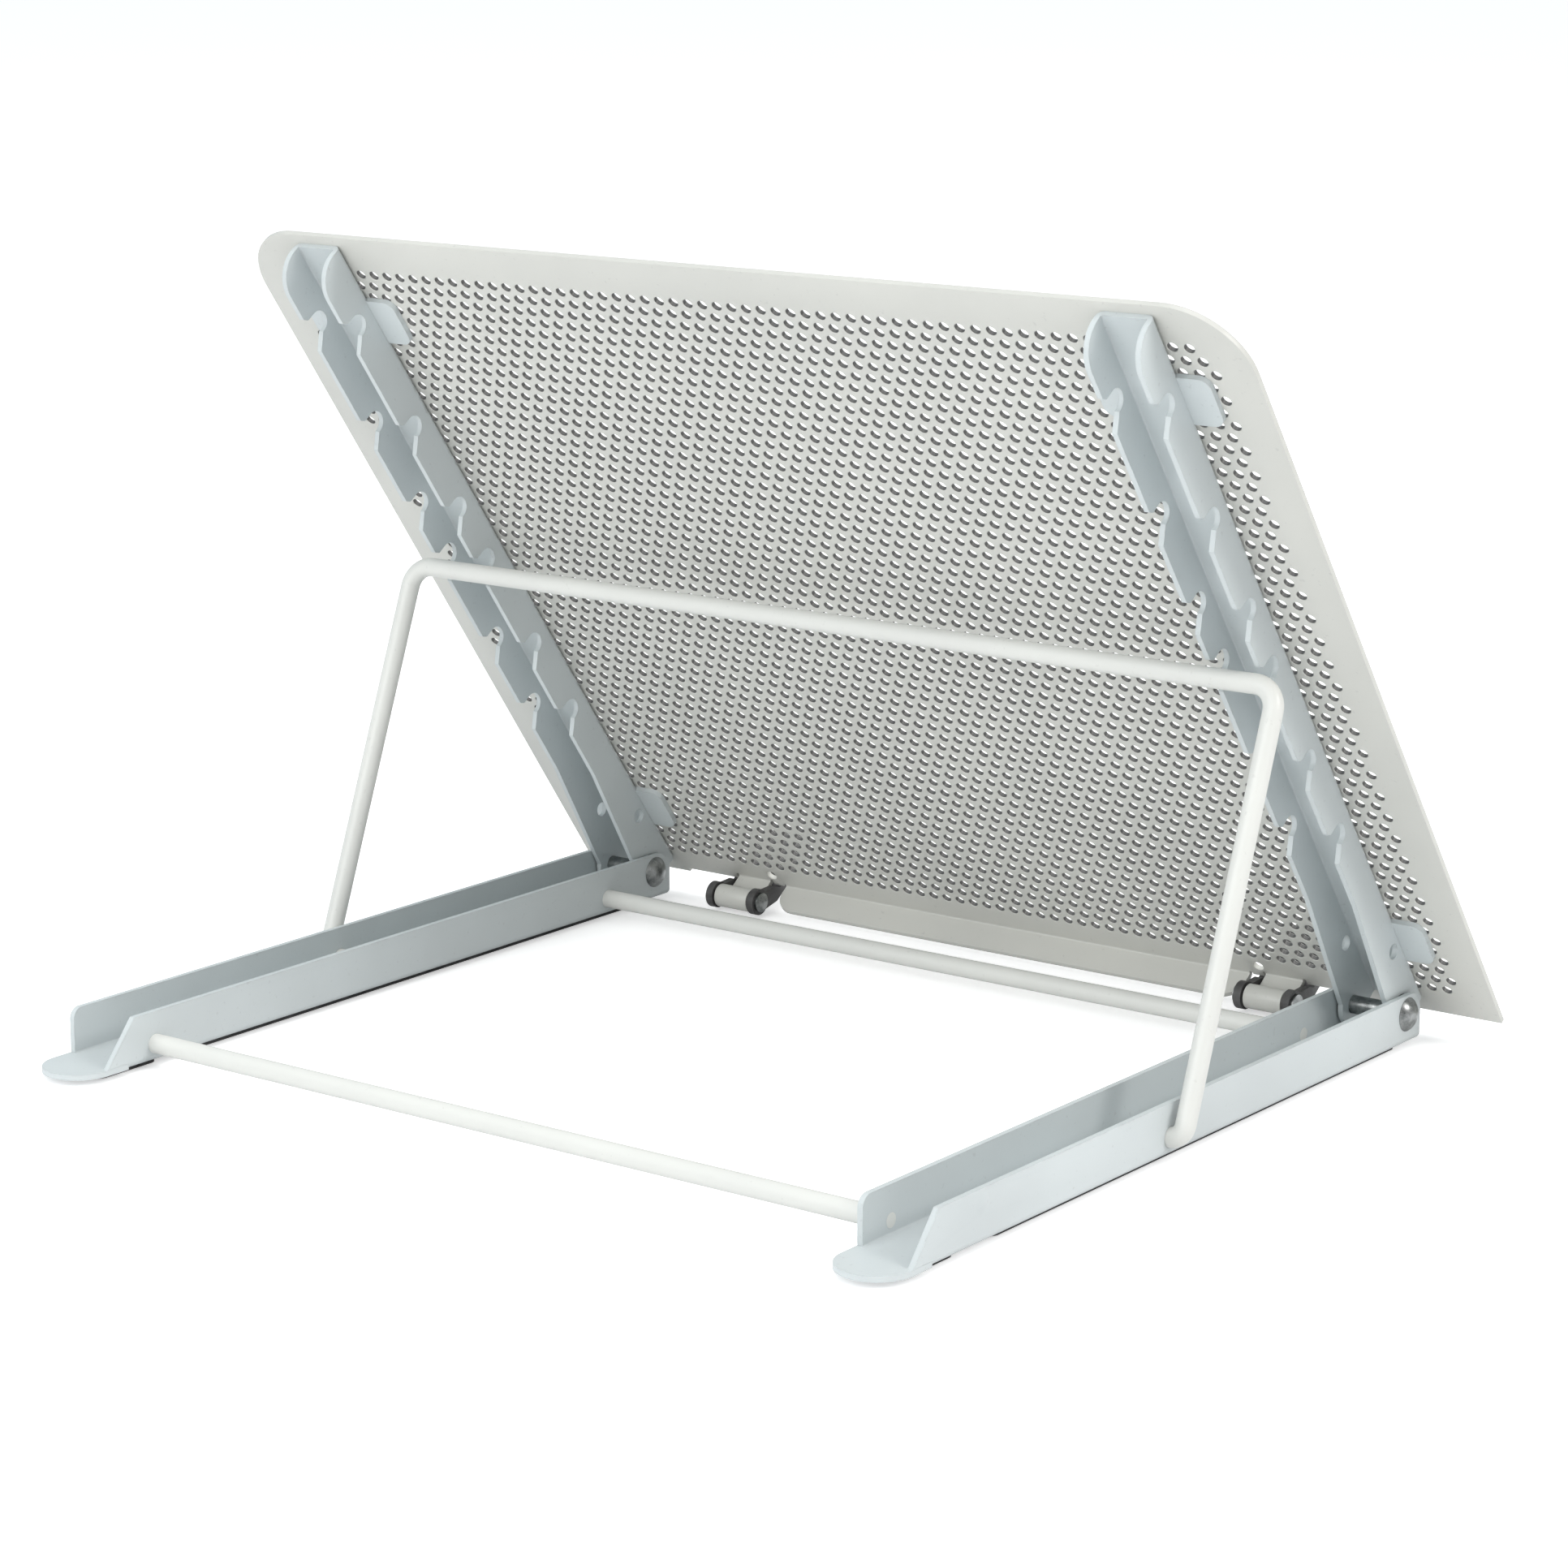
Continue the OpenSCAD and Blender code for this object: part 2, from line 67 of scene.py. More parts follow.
# Local plate coordinates are (x, s, n) in millimetres: s runs up the slope from the hinge
# axis and n stands square to the plate, towards the device.
PLATE_TO_FRAME = Matrix.Translation(HINGE) @ Matrix.Rotation(TILT, 4, "X") @ Matrix.Scale(MM, 4)
FRAME_TO_PLATE = PLATE_TO_FRAME.inverted()


def plate_box(node):
    """Lowest and highest corner of a CAD node in plate coordinates."""
    points = np.array([FRAME_TO_PLATE @ v.co for v in frame["nodes"][node].data.vertices])
    return points.min(0), points.max(0)


# ---------------------------------------------------------------- the perforated panel
SHEET_T = 1.2
CORNER_R = 16.0
HOLE_D = 2.3
HOLE_PITCH = 3.7
HOLE_SIDES = 18
HOLE_CHAMFER = 0.12
MARGIN_SIDE = 7.4
MARGIN_TOP = 8.4
MARGIN_LOW = 7.0
LIP_HALF_W = 64.0
LIP_DEPTH = 8.2
LIP_CORNER = 5.0
BEND_R = 1.6
CUT_DEPTH = 1.0
CUT_OUTER_X = 93.5
RELIEF_W = 0.7
KNUCKLE_W = 9.4
KNUCKLE_BORE = 1.55
CURL_END = math.radians(440)
LOCATING_X = 67.0
LOCATING_S = -5.4
LOCATING_R = 1.3
EDGE_ROUND = 0.22
# Material slot of the hole walls, which carry painted shade.
SHADED_WALL_SLOT = 1
MERGE_GAP = 0.002
SHARP_ANGLE = math.radians(35)

panel_low, panel_high = plate_box("perforated_plate")
HALF_W = float(panel_high[0])
S_LOW = float(panel_low[1])
S_HIGH = float(panel_high[1])
FACE_N = float(panel_high[2])
UNDER_N = FACE_N - SHEET_T
CUT_S = S_LOW + CUT_DEPTH
ROW_STEP = HOLE_PITCH * math.sin(math.radians(60))
FIELD_S = S_LOW + MARGIN_LOW + HOLE_D / 2
PIN = FRAME_TO_PLATE @ STOP_PIN


def arc(cx, cy, radius, start, end, steps):
    """Points on an arc from start to end, in radians, both ends included."""
    angles = np.linspace(start, end, steps + 1)
    return [(cx + radius * math.cos(a), cy + radius * math.sin(a)) for a in angles]


def hole_lattice():
    """Lattice points round the field, in half pitches and thirds of a row, and which are punched."""
    radius = HOLE_D / 2
    x_max = HALF_W - MARGIN_SIDE - radius
    s_max = S_HIGH - MARGIN_TOP - radius
    corner = CORNER_R - MARGIN_TOP - radius
    rows = range(-4, int((s_max - FIELD_S) / ROW_STEP) + 5)
    lattice = np.array([(2 * column + row % 2, 3 * row) for row in rows for column in range(-40, 41)])
    x, s = lattice_place(lattice).T
    dx = np.maximum(0.0, np.abs(x) - (x_max - corner))
    ds = np.maximum(0.0, s - (s_max - corner))
    punched = (np.abs(x) <= x_max) & (s > FIELD_S - 0.01) & (s <= s_max) & (np.hypot(dx, ds) <= corner)
    return lattice, punched


def lattice_place(cells):
    """Places (x, s) of lattice points."""
    return np.stack([cells[..., 0] * HOLE_PITCH / 2, FIELD_S + cells[..., 1] * ROW_STEP / 3], -1)


def lip_columns():
    """x positions of the lip's columns, closer together round its corners."""
    corner = [LIP_HALF_W - LIP_CORNER * (1 - math.sin(a)) for a in np.linspace(0, math.pi / 2, 9)]
    inner = list(np.linspace(-LIP_HALF_W + LIP_CORNER, LIP_HALF_W - LIP_CORNER, 13))[1:-1]
    return sorted([-x for x in corner] + inner + corner)


def bend_paths(outer_s, start_s):
    """Paths of the two faces of the sheet from start_s round a bend, down to the bend's end."""
    top = [(start_s, FACE_N)]
    low = [(start_s, UNDER_N)]
    centre = (outer_s + BEND_R, FACE_N - BEND_R)
    top += arc(*centre, BEND_R, math.pi / 2, math.pi, 6)
    low += arc(*centre, BEND_R - SHEET_T, math.pi / 2, math.pi, 6)
    return top, low


def lip_flap():
    """Columns and rows of the lip: a bend, then a straight drop with rounded corners."""
    start_s = S_LOW + BEND_R + 0.1
    top, low = bend_paths(S_LOW, start_s)
    columns = lip_columns()
    rows_top, rows_low = [], []
    for x in columns:
        over = max(0.0, abs(x) - (LIP_HALF_W - LIP_CORNER))
        end_n = FACE_N - LIP_DEPTH + LIP_CORNER - math.sqrt(max(0.0, LIP_CORNER ** 2 - over ** 2))
        rows_top.append(top + [(S_LOW, end_n)])
        rows_low.append(low + [(S_LOW + SHEET_T, end_n)])
    return columns, rows_top, rows_low


def knuckle_flap(side):
    """Columns and rows of a knuckle: a bend, a drop and a curl round the stop pin."""
    outer_r = KNUCKLE_BORE + SHEET_T
    outer_s = PIN.y - outer_r
    top, low = bend_paths(outer_s, outer_s + BEND_R + 0.1)
    top += arc(PIN.y, PIN.z, outer_r, math.pi, CURL_END, 26)
    low += arc(PIN.y, PIN.z, KNUCKLE_BORE, math.pi, CURL_END, 26)
    middle = side * PIN.x
    columns = [middle - KNUCKLE_W / 2, middle, middle + KNUCKLE_W / 2]
    return columns, [top] * 3, [low] * 3


def sheet_outline(flaps):
    """Outline of the flat sheet in (x, s), counter-clockwise, with the flap that each edge carries."""
    points, edge_flap = [], []

    def add(x, s, flap=None):
        points.append((x, s))
        edge_flap.append(flap)

    def add_flap(index):
        columns, top, _ = flaps[index]
        start_s = top[0][0][0]
        add(columns[0] - RELIEF_W, CUT_S)
        add(columns[0] - RELIEF_W, start_s)
        for x in columns[:-1]:
            add(x, start_s, index)
        add(columns[-1], start_s)
        add(columns[-1] + RELIEF_W, start_s)
        add(columns[-1] + RELIEF_W, CUT_S)

    add(-HALF_W, S_LOW)
    add(-CUT_OUTER_X, S_LOW)
    add(-CUT_OUTER_X, CUT_S)
    for index in range(len(flaps)):
        add_flap(index)
    add(CUT_OUTER_X, CUT_S)
    add(CUT_OUTER_X, S_LOW)
    add(HALF_W, S_LOW)
    middle_x, middle_s = HALF_W - CORNER_R, S_HIGH - CORNER_R
    for x, s in arc(middle_x, middle_s, CORNER_R, 0, math.pi / 2, 20):
        add(x, s)
    for x, s in arc(-middle_x, middle_s, CORNER_R, math.pi / 2, math.pi, 20):
        add(x, s)
    return points, edge_flap


def field_cells(holes):
    """Six corners of each hole's hexagonal cell: (places of the corners, index of each corner)."""
    steps = np.array([(1, 1), (0, 2), (-1, 1), (-1, -1), (0, -2), (1, -1)])
    corners = (holes[:, None, :] + steps[None]).reshape(-1, 2)
    keys, index = np.unique(corners, axis=0, return_inverse=True)
    return lattice_place(keys), index.reshape(len(holes), 6)


def closed_loop(first, count):
    """Edges of a closed loop of count points, the first of which has index first."""
    return [(first + i, first + (i + 1) % count) for i in range(count)]


def field_border(cells, corners, first):
    """Corners on the outside of the hexagon field, from index first on, and the edges between them."""
    directed = {(a, b) for cell in cells for a, b in zip(cell, np.roll(cell, -1))}
    border = [(a, b) for a, b in sorted(directed) if (b, a) not in directed]
    used = sorted({a for a, _ in border})
    place = {corner: first + i for i, corner in enumerate(used)}
    return [Vector(corners[c]) for c in used], [(place[a], place[b]) for a, b in border]


def border_test(lattice, punched, outline):
    """A test that tells whether (x, s) is plain sheet: in the outline, outside the field and the holes."""
    nearest = KDTree(len(lattice))
    for i, (x, s) in enumerate(lattice):
        nearest.insert((x, s, 0), i)
    nearest.balance()

    def is_border(x, s):
        _, index, distance = nearest.find((x, s, 0))
        if punched[index] and distance < HOLE_PITCH:
            return False
        if math.hypot(abs(x) - LOCATING_X, s - LOCATING_S) < LOCATING_R * 0.99:
            return False
        return inside(x, s, outline)

    return is_border


def flat_border(lattice, punched, corners, cells, outline):
    """The flat border: (points, triangles, new index of each given point, edges of the locating holes)."""
    coords = [Vector(p) for p in outline]
    edges = closed_loop(0, len(outline))
    rings = []
    for side in (-1, 1):
        ring = arc(side * LOCATING_X, LOCATING_S, LOCATING_R, 0, -2 * math.pi, 24)[:-1]
        rings += closed_loop(len(coords), len(ring))
        coords += [Vector(p) for p in ring]
    rim, rim_edges = field_border(cells, corners, len(coords))
    flat, _, triangles, origin, _, _ = delaunay_2d_cdt(coords + rim, edges + rings + rim_edges, [], 1, 1e-5)
    source = {old: new for new, olds in enumerate(origin) for old in olds}
    is_border = border_test(lattice, punched, outline)
    faces = []
    for a, b, c in triangles:
        middle = (flat[a] + flat[b] + flat[c]) / 3
        if is_border(middle.x, middle.y):
            if (flat[b] - flat[a]).cross(flat[c] - flat[a]) < 0:
                b, c = c, b
            faces.append((a, b, c))
    return flat, faces, source, rings


def border_mesh(lattice, punched, corners, cells, flaps):
    """The plain border of the panel with its flaps, open where the perforated field goes."""
    outline, edge_flap = sheet_outline(flaps)
    count = len(outline)
    flat, faces, source, rings = flat_border(lattice, punched, corners, cells, outline)
    total = len(flat)
    verts = [(p.x, p.y, FACE_N) for p in flat] + [(p.x, p.y, UNDER_N) for p in flat]
    polygons = list(faces) + [(c + total, b + total, a + total) for a, b, c in faces]
    walls = [edge for i, edge in enumerate(closed_loop(0, count)) if edge_flap[i] is None]
    for i, j in walls + rings:
        a, b = source[i], source[j]
        polygons.append((a + total, b + total, b, a))
    for index, flap in enumerate(flaps):
        starts = [i for i in range(count) if edge_flap[i] == index]
        heads = [source[i] for i in starts] + [source[starts[-1] + 1]]
        add_flap_faces(verts, polygons, flap, heads, total)
    mesh = bpy.data.meshes.new("panel_border")
    mesh.from_pydata(verts, [], polygons)
    return mesh


def add_flap_faces(verts, polygons, flap, heads, total):
    """Adds the two faces, the side walls and the free edge of a flap that hangs from the sheet."""
    columns, rows_top, rows_low = flap
    top, low = [], []
    for x, head, path_top, path_low in zip(columns, heads, rows_top, rows_low):
        column_top, column_low = [head], [head + total]
        for column, path in ((column_top, path_top), (column_low, path_low)):
            for s, n in path[1:]:
                column.append(len(verts))
                verts.append((x, s, n))
        top.append(column_top)
        low.append(column_low)
    rows = len(top[0]) - 1
    last = len(columns) - 1
    for i in range(last):
        for k in range(rows):
            polygons.append((top[i][k + 1], top[i + 1][k + 1], top[i + 1][k], top[i][k]))
            polygons.append((low[i][k], low[i + 1][k], low[i + 1][k + 1], low[i][k + 1]))
        polygons.append((low[i][rows], low[i + 1][rows], top[i + 1][rows], top[i][rows]))
    for k in range(rows):
        polygons.append((low[0][k], low[0][k + 1], top[0][k + 1], top[0][k]))
        polygons.append((top[last][k], top[last][k + 1], low[last][k + 1], low[last][k]))


def inside(x, s, outline):
    """True if (x, s) is inside the closed outline."""
    odd = False
    for (ax, ay), (bx, by) in zip(outline, outline[1:] + outline[:1]):
        if (ay > s) != (by > s) and x < ax + (s - ay) * (bx - ax) / (by - ay):
            odd = not odd
    return odd


def field_mesh(centres, corners, cells):
    """The perforated field: each hexagonal cell has a round hole with small chamfers."""
    angles = math.radians(30) + 2 * math.pi * np.arange(HOLE_SIDES) / HOLE_SIDES
    circle = np.stack([np.cos(angles), np.sin(angles)], 1)
    wide = HOLE_D / 2 + HOLE_CHAMFER
    levels = [
        (wide, FACE_N),
        (HOLE_D / 2, FACE_N - HOLE_CHAMFER),
        (HOLE_D / 2, UNDER_N + HOLE_CHAMFER),
        (wide, UNDER_N),
    ]
    count, corner_count = len(centres), len(corners)
    parts = [np.column_stack([corners, np.full(corner_count, n)]) for n in (FACE_N, UNDER_N)]
    for radius, n in levels:
        ring = centres[:, None, :] + radius * circle[None]
        parts.append(np.column_stack([ring.reshape(-1, 2), np.full(count * HOLE_SIDES, n)]))
    verts = np.concatenate(parts)
    first = 2 * corner_count + np.arange(4)[:, None, None] * count * HOLE_SIDES
    rings = first + np.arange(count * HOLE_SIDES).reshape(1, count, HOLE_SIDES)
    quads, tris = [], []
    per_side = HOLE_SIDES // 6
    for level, offset, flip in ((0, 0, False), (3, corner_count, True)):
        ring = rings[level]
        for m in range(6):
            a = cells[:, m] + offset
            b = cells[:, (m + 1) % 6] + offset
            steps = [ring[:, (m * per_side + k) % HOLE_SIDES] for k in range(per_side + 1)]
            side_faces = [(a, steps[1], steps[0]), (b, steps[3], steps[2])]
            tris += [np.stack(f[::-1] if flip else f, 1) for f in side_faces]
            quad = (a, b, steps[2], steps[1])
            quads.append(np.stack(quad[::-1] if flip else quad, 1))
    for upper, lower in ((0, 1), (1, 2), (2, 3)):
        here, after = rings[upper], np.roll(rings[upper], -1, axis=1)
        below, below_after = rings[lower], np.roll(rings[lower], -1, axis=1)
        quads.append(np.stack([here, after, below_after, below], 2).reshape(-1, 4))
    mesh = bpy.data.meshes.new("panel_field")
    polygons = np.concatenate(quads).tolist() + np.concatenate(tris).tolist()
    mesh.from_pydata(verts.tolist(), [], polygons)
    # The hole walls take the second slot, whose near-black colour is painted shade.
    slots = np.zeros(len(polygons), np.int32)
    first_wall = 12 * count + HOLE_SIDES * count
    slots[first_wall:first_wall + HOLE_SIDES * count] = SHADED_WALL_SLOT
    mesh.polygons.foreach_set("material_index", slots)
    return mesh


def round_sharp_edges(bm, radius):
    """Rounds every edge between two faces that meet at more than the sharp angle."""
    sharp = [e for e in bm.edges if len(e.link_faces) == 2 and e.calc_face_angle(0.0) > SHARP_ANGLE]
    bmesh.ops.bevel(
        bm, geom=sharp, offset=radius, offset_type="OFFSET", segments=2, profile=0.5,
        affect="EDGES", clamp_overlap=True,
    )


def settle_order(bm):
    """Puts edges and faces in a fixed order, because the bevel's own order varies from run to run."""
    bm.verts.index_update()
    for elements in (bm.edges, bm.faces):
        ordered = sorted(elements, key=lambda element: sorted(v.index for v in element.verts))
        for rank, element in enumerate(ordered):
            element.index = rank
        elements.sort()


def make_panel():
    """The whole panel: border, lip, knuckles and the fine perforated field, as one closed mesh."""
    lattice, punched = hole_lattice()
    corners, cells = field_cells(lattice[punched])
    centres = lattice_place(lattice[punched])
    flaps = [knuckle_flap(-1), lip_flap(), knuckle_flap(1)]
    border = border_mesh(lattice_place(lattice), punched, corners, cells, flaps)
    field = field_mesh(centres, corners, cells)
    bm = bmesh.new()
    bm.from_mesh(border)
    round_sharp_edges(bm, EDGE_ROUND)
    bm.from_mesh(field)
    rim = [v for v in bm.verts if v.is_boundary]
    bmesh.ops.remove_doubles(bm, verts=rim, dist=MERGE_GAP)
    settle_order(bm)
    mesh = bpy.data.meshes.new("perforated_panel")
    bm.to_mesh(mesh)
    bm.free()
    mesh.transform(PLATE_TO_FRAME)
    mesh.polygons.foreach_set("use_smooth", [True] * len(mesh.polygons))
    mesh.set_sharp_from_angle(angle=SHARP_ANGLE)
    panel = bpy.data.objects.new("perforated_panel", mesh)
    bpy.context.scene.collection.objects.link(panel)
    return panel


# ---------------------------------------------------------------- materials
# Noise scales are in waves per metre and bump depths in metres.
DRIFT_SCALE = 22.0
PAINT_GRAIN_SCALE = 140.0
SCUFF_SCALE = 260.0
SPECK_SCALE = 900.0
PEEL_SCALE = 1400.0
PEEL_DEPTH = 0.00008
STAIN_SCALE = 420.0
STEEL_GRAIN_SCALE = 2600.0
STEEL_GRAIN_DEPTH = 0.00003
RUB_SCALE = 180.0


def node_material(name):
    """An empty node material: (material, nodes, links, principled shader)."""
    material = bpy.data.materials.new(name)
    material.use_nodes = True
    tree = material.node_tree
    return material, tree.nodes, tree.links, tree.nodes["Principled BSDF"]


def noise(nodes, links, coordinate, scale, detail=2.0, roughness=0.5):
    """A noise texture in object coordinates."""
    texture = nodes.new("ShaderNodeTexNoise")
    texture.inputs["Scale"].default_value = scale
    texture.inputs["Detail"].default_value = detail
    texture.inputs["Roughness"].default_value = roughness
    links.new(coordinate, texture.inputs["Vector"])
    return texture.outputs["Fac"]


def ramp(nodes, links, value, low, high):
    """Maps a value between two positions to 0..1."""
    stretch = nodes.new("ShaderNodeMapRange")
    stretch.inputs["From Min"].default_value = low
    stretch.inputs["From Max"].default_value = high
    links.new(value, stretch.inputs["Value"])
    return stretch.outputs["Result"]


def blend_range(nodes, links, value, low, high):
    """Maps 0..1 to low..high."""
    stretch = nodes.new("ShaderNodeMapRange")
    stretch.inputs["To Min"].default_value = low
    stretch.inputs["To Max"].default_value = high
    links.new(value, stretch.inputs["Value"])
    return stretch.outputs["Result"]


def mix_colour(nodes, links, factor, first, second):
    """Mixes two colours, each a socket or a tuple."""
    mixer = nodes.new("ShaderNodeMix")
    mixer.data_type = "RGBA"
    links.new(factor, mixer.inputs["Factor"])
    for socket, colour in (("A", first), ("B", second)):
        target = next(i for i in mixer.inputs if i.name == socket and i.type == "RGBA")
        if isinstance(colour, tuple):
            target.default_value = (*colour, 1.0)
        else:
            links.new(colour, target)
    return next(o for o in mixer.outputs if o.type == "RGBA")


def edge_mask(nodes, links, radius):
    """1 on rounded edges and 0 on flats, from the bevelled normal."""
    bevel = nodes.new("ShaderNodeBevel")
    bevel.samples = 4
    bevel.inputs["Radius"].default_value = radius
    geometry = nodes.new("ShaderNodeNewGeometry")
    dot = nodes.new("ShaderNodeVectorMath")
    dot.operation = "DOT_PRODUCT"
    links.new(bevel.outputs["Normal"], dot.inputs[0])
    links.new(geometry.outputs["Normal"], dot.inputs[1])
    return ramp(nodes, links, dot.outputs["Value"], 0.995, 0.93)


def painted(name, colour, shade, worn, peel=0.12, rough=(0.34, 0.46), edges=0.0006):
    """Powder coat: fine orange peel, slow colour drift, dust specks and thinner paint on the edges."""
    material, nodes, links, shader = node_material(name)
    place = nodes.new("ShaderNodeTexCoord").outputs["Object"]
    drift = ramp(nodes, links, noise(nodes, links, place, DRIFT_SCALE, 3.0), 0.35, 0.68)
    base = mix_colour(nodes, links, drift, colour, shade)
    speck = ramp(nodes, links, noise(nodes, links, place, SPECK_SCALE, 1.0), 0.70, 0.78)
    speck_share = blend_range(nodes, links, speck, 0.0, 0.35)
    base = mix_colour(nodes, links, speck_share, base, worn)
    if edges:
        scuff = ramp(nodes, links, noise(nodes, links, place, SCUFF_SCALE, 4.0, 0.65), 0.42, 0.62)
        both = nodes.new("ShaderNodeMath")
        both.operation = "MULTIPLY"
        links.new(edge_mask(nodes, links, edges), both.inputs[0])
        links.new(scuff, both.inputs[1])
        share = blend_range(nodes, links, both.outputs["Value"], 0.0, 0.55)
        base = mix_colour(nodes, links, share, base, worn)
    links.new(base, shader.inputs["Base Color"])
    grain = noise(nodes, links, place, PAINT_GRAIN_SCALE, 3.0)
    links.new(blend_range(nodes, links, grain, *rough), shader.inputs["Roughness"])
    shader.inputs["Coat Weight"].default_value = 0.12
    shader.inputs["Coat Roughness"].default_value = 0.22
    bump = nodes.new("ShaderNodeBump")
    bump.inputs["Strength"].default_value = peel
    bump.inputs["Distance"].default_value = PEEL_DEPTH
    links.new(noise(nodes, links, place, PEEL_SCALE, 2.0), bump.inputs["Height"])
    links.new(bump.outputs["Normal"], shader.inputs["Normal"])
    return material


def turned_steel(name, colour, dark):
    """Bright steel with fine rings from heading and darker stains."""
    material, nodes, links, shader = node_material(name)
    place = nodes.new("ShaderNodeTexCoord").outputs["Object"]
    stain = ramp(nodes, links, noise(nodes, links, place, STAIN_SCALE, 4.0, 0.6), 0.35, 0.7)
    links.new(mix_colour(nodes, links, stain, colour, dark), shader.inputs["Base Color"])
    shader.inputs["Metallic"].default_value = 1.0
    grain = noise(nodes, links, place, STEEL_GRAIN_SCALE, 2.0)
    links.new(blend_range(nodes, links, grain, 0.2, 0.42), shader.inputs["Roughness"])
    bump = nodes.new("ShaderNodeBump")
    bump.inputs["Strength"].default_value = 0.25
    bump.inputs["Distance"].default_value = STEEL_GRAIN_DEPTH
    links.new(grain, bump.inputs["Height"])
    links.new(bump.outputs["Normal"], shader.inputs["Normal"])
    return material


def moulded(name, colour, light, scale, depth, rough):
    """Moulded plastic or rubber with an etched grain and rubbed high spots."""
    material, nodes, links, shader = node_material(name)
    place = nodes.new("ShaderNodeTexCoord").outputs["Object"]
    rub = ramp(nodes, links, noise(nodes, links, place, RUB_SCALE, 3.0), 0.4, 0.72)
    links.new(mix_colour(nodes, links, rub, colour, light), shader.inputs["Base Color"])
    grain = noise(nodes, links, place, scale, 2.0, 0.6)
    links.new(blend_range(nodes, links, grain, *rough), shader.inputs["Roughness"])
    shader.inputs["Specular IOR Level"].default_value = 0.4
    bump = nodes.new("ShaderNodeBump")
    bump.inputs["Strength"].default_value = 0.5
    bump.inputs["Distance"].default_value = depth
    links.new(grain, bump.inputs["Height"])
    links.new(bump.outputs["Normal"], shader.inputs["Normal"])
    return material


# Each paint has its colour, a shade it drifts to and the colour of worn spots.
MATERIALS = {
    # Near-black hole walls: painted shade so the holes read as dark dots; the walls' own paint is light.
    "painted_shade_hole_wall": painted(
        "painted_shade_hole_wall", (0.09, 0.09, 0.088), (0.07, 0.07, 0.068), (0.05, 0.05, 0.05), edges=0,
    ),
    "plate_paint": painted(
        "plate_paint", (0.60, 0.60, 0.565), (0.555, 0.555, 0.525), (0.42, 0.42, 0.41), edges=0,
    ),
    # The blue tint of the rail colours is a painted cool reflection, not the rails' own colour.
    "rail_paint": painted(
        "rail_paint", (0.585, 0.63, 0.64), (0.54, 0.58, 0.59), (0.42, 0.44, 0.45),
    ),
    "wire_paint": painted(
        "wire_paint", (0.70, 0.705, 0.675), (0.66, 0.665, 0.64), (0.55, 0.55, 0.53), edges=0,
    ),
    "rivet_steel": turned_steel("rivet_steel", (0.42, 0.43, 0.43), (0.16, 0.17, 0.17)),
    "washer_nylon": moulded(
        "washer_nylon", (0.035, 0.035, 0.036), (0.06, 0.06, 0.06), 3000.0, 0.00002, (0.4, 0.55),
    ),
    "stop_plastic": moulded(
        "stop_plastic", (0.06, 0.058, 0.058), (0.10, 0.10, 0.10), 2200.0, 0.00005, (0.42, 0.6),
    ),
    "pad_rubber": moulded(
        "pad_rubber", (0.03, 0.03, 0.031), (0.065, 0.065, 0.065), 1500.0, 0.00008, (0.6, 0.8),
    ),
}


# ---------------------------------------------------------------- finish of the CAD nodes
WELD_GAP = 0.000002
# Width of the rounded edges of the CAD nodes, in metres, by material slot.
EDGE_WIDTHS = {
    "rail_paint": 0.00025,
    "wire_paint": 0.0002,
    "rivet_steel": 0.00015,
    "washer_nylon": 0.00005,
    "stop_plastic": 0.00035,
    "pad_rubber": 0.0003,
}


def round_cad_node(node, width):
    """Rounds the sharp edges of a CAD node with modifiers, leaving its mesh as packed."""
    mesh = node.data
    if mesh.has_custom_normals:
        mesh.attributes.remove(mesh.attributes["custom_normal"])
    mesh.polygons.foreach_set("use_smooth", [True] * len(mesh.polygons))
    weld = node.modifiers.new("weld", "WELD")
    weld.merge_threshold = WELD_GAP
    bevel = node.modifiers.new("rounded_edges", "BEVEL")
    bevel.width = width
    bevel.segments = 2
    bevel.limit_method = "ANGLE"
    bevel.angle_limit = SHARP_ANGLE
    bevel.harden_normals = True
    bevel.use_clamp_overlap = True


def finish_cad_nodes():
    """Gives every CAD node its material, slot and rounded edges."""
    for part in frame["record"]["subparts"]:
        node = frame["nodes"][part["node"]]
        slot = part["material_slot"]
        node.data.materials.clear()
        node.data.materials.append(MATERIALS[slot])
        if not node.hide_render:
            round_cad_node(node, EDGE_WIDTHS[slot])


# ---------------------------------------------------------------- studio
WORLD_STRENGTH = 0.60
BACKDROP_STRENGTH = 1.05
FLOOR_GLOW = 0.45
FLOOR_HALF = 40.0
FLOOR_DROP = 0.0002
CAMERA_AT = Vector((-0.52627, HINGE.y + 0.77580, 0.26079))
CAMERA_AZIMUTH = math.radians(216.860)
CAMERA_ELEVATION = math.radians(13.115)
CAMERA_LENS = 97.94
# Place, size in metres, power in watts and colour of each soft light.
LIGHTS = {
    "key": ((-1.7, -0.35, 1.15), 0.7, 15.0, (1.0, 0.985, 0.96)),
    "top": ((-0.3, 0.1, 1.8), 1.4, 13.0, (1.0, 1.0, 1.0)),
    "rear": ((0.3, 1.9, 1.0), 1.6, 23.0, (1.0, 1.0, 0.985)),
}


def area_light(name, place, target, size, power, colour):
    """A soft square light that looks at target."""
    data = bpy.data.lights.new(name, "AREA")
    data.shape = "SQUARE"
    data.size = size
    data.energy = power
    data.color = colour
    light = bpy.data.objects.new(name, data)
    light.location = place
    light.rotation_euler = (target - place).to_track_quat("-Z", "Y").to_euler()
    bpy.context.scene.collection.objects.link(light)


def seen_by_camera(nodes, links, other, direct):
    """One value for what the camera sees directly and another for the light that falls on the object."""
    ray = nodes.new("ShaderNodeLightPath").outputs["Is Camera Ray"]
    return blend_range(nodes, links, ray, other, direct)


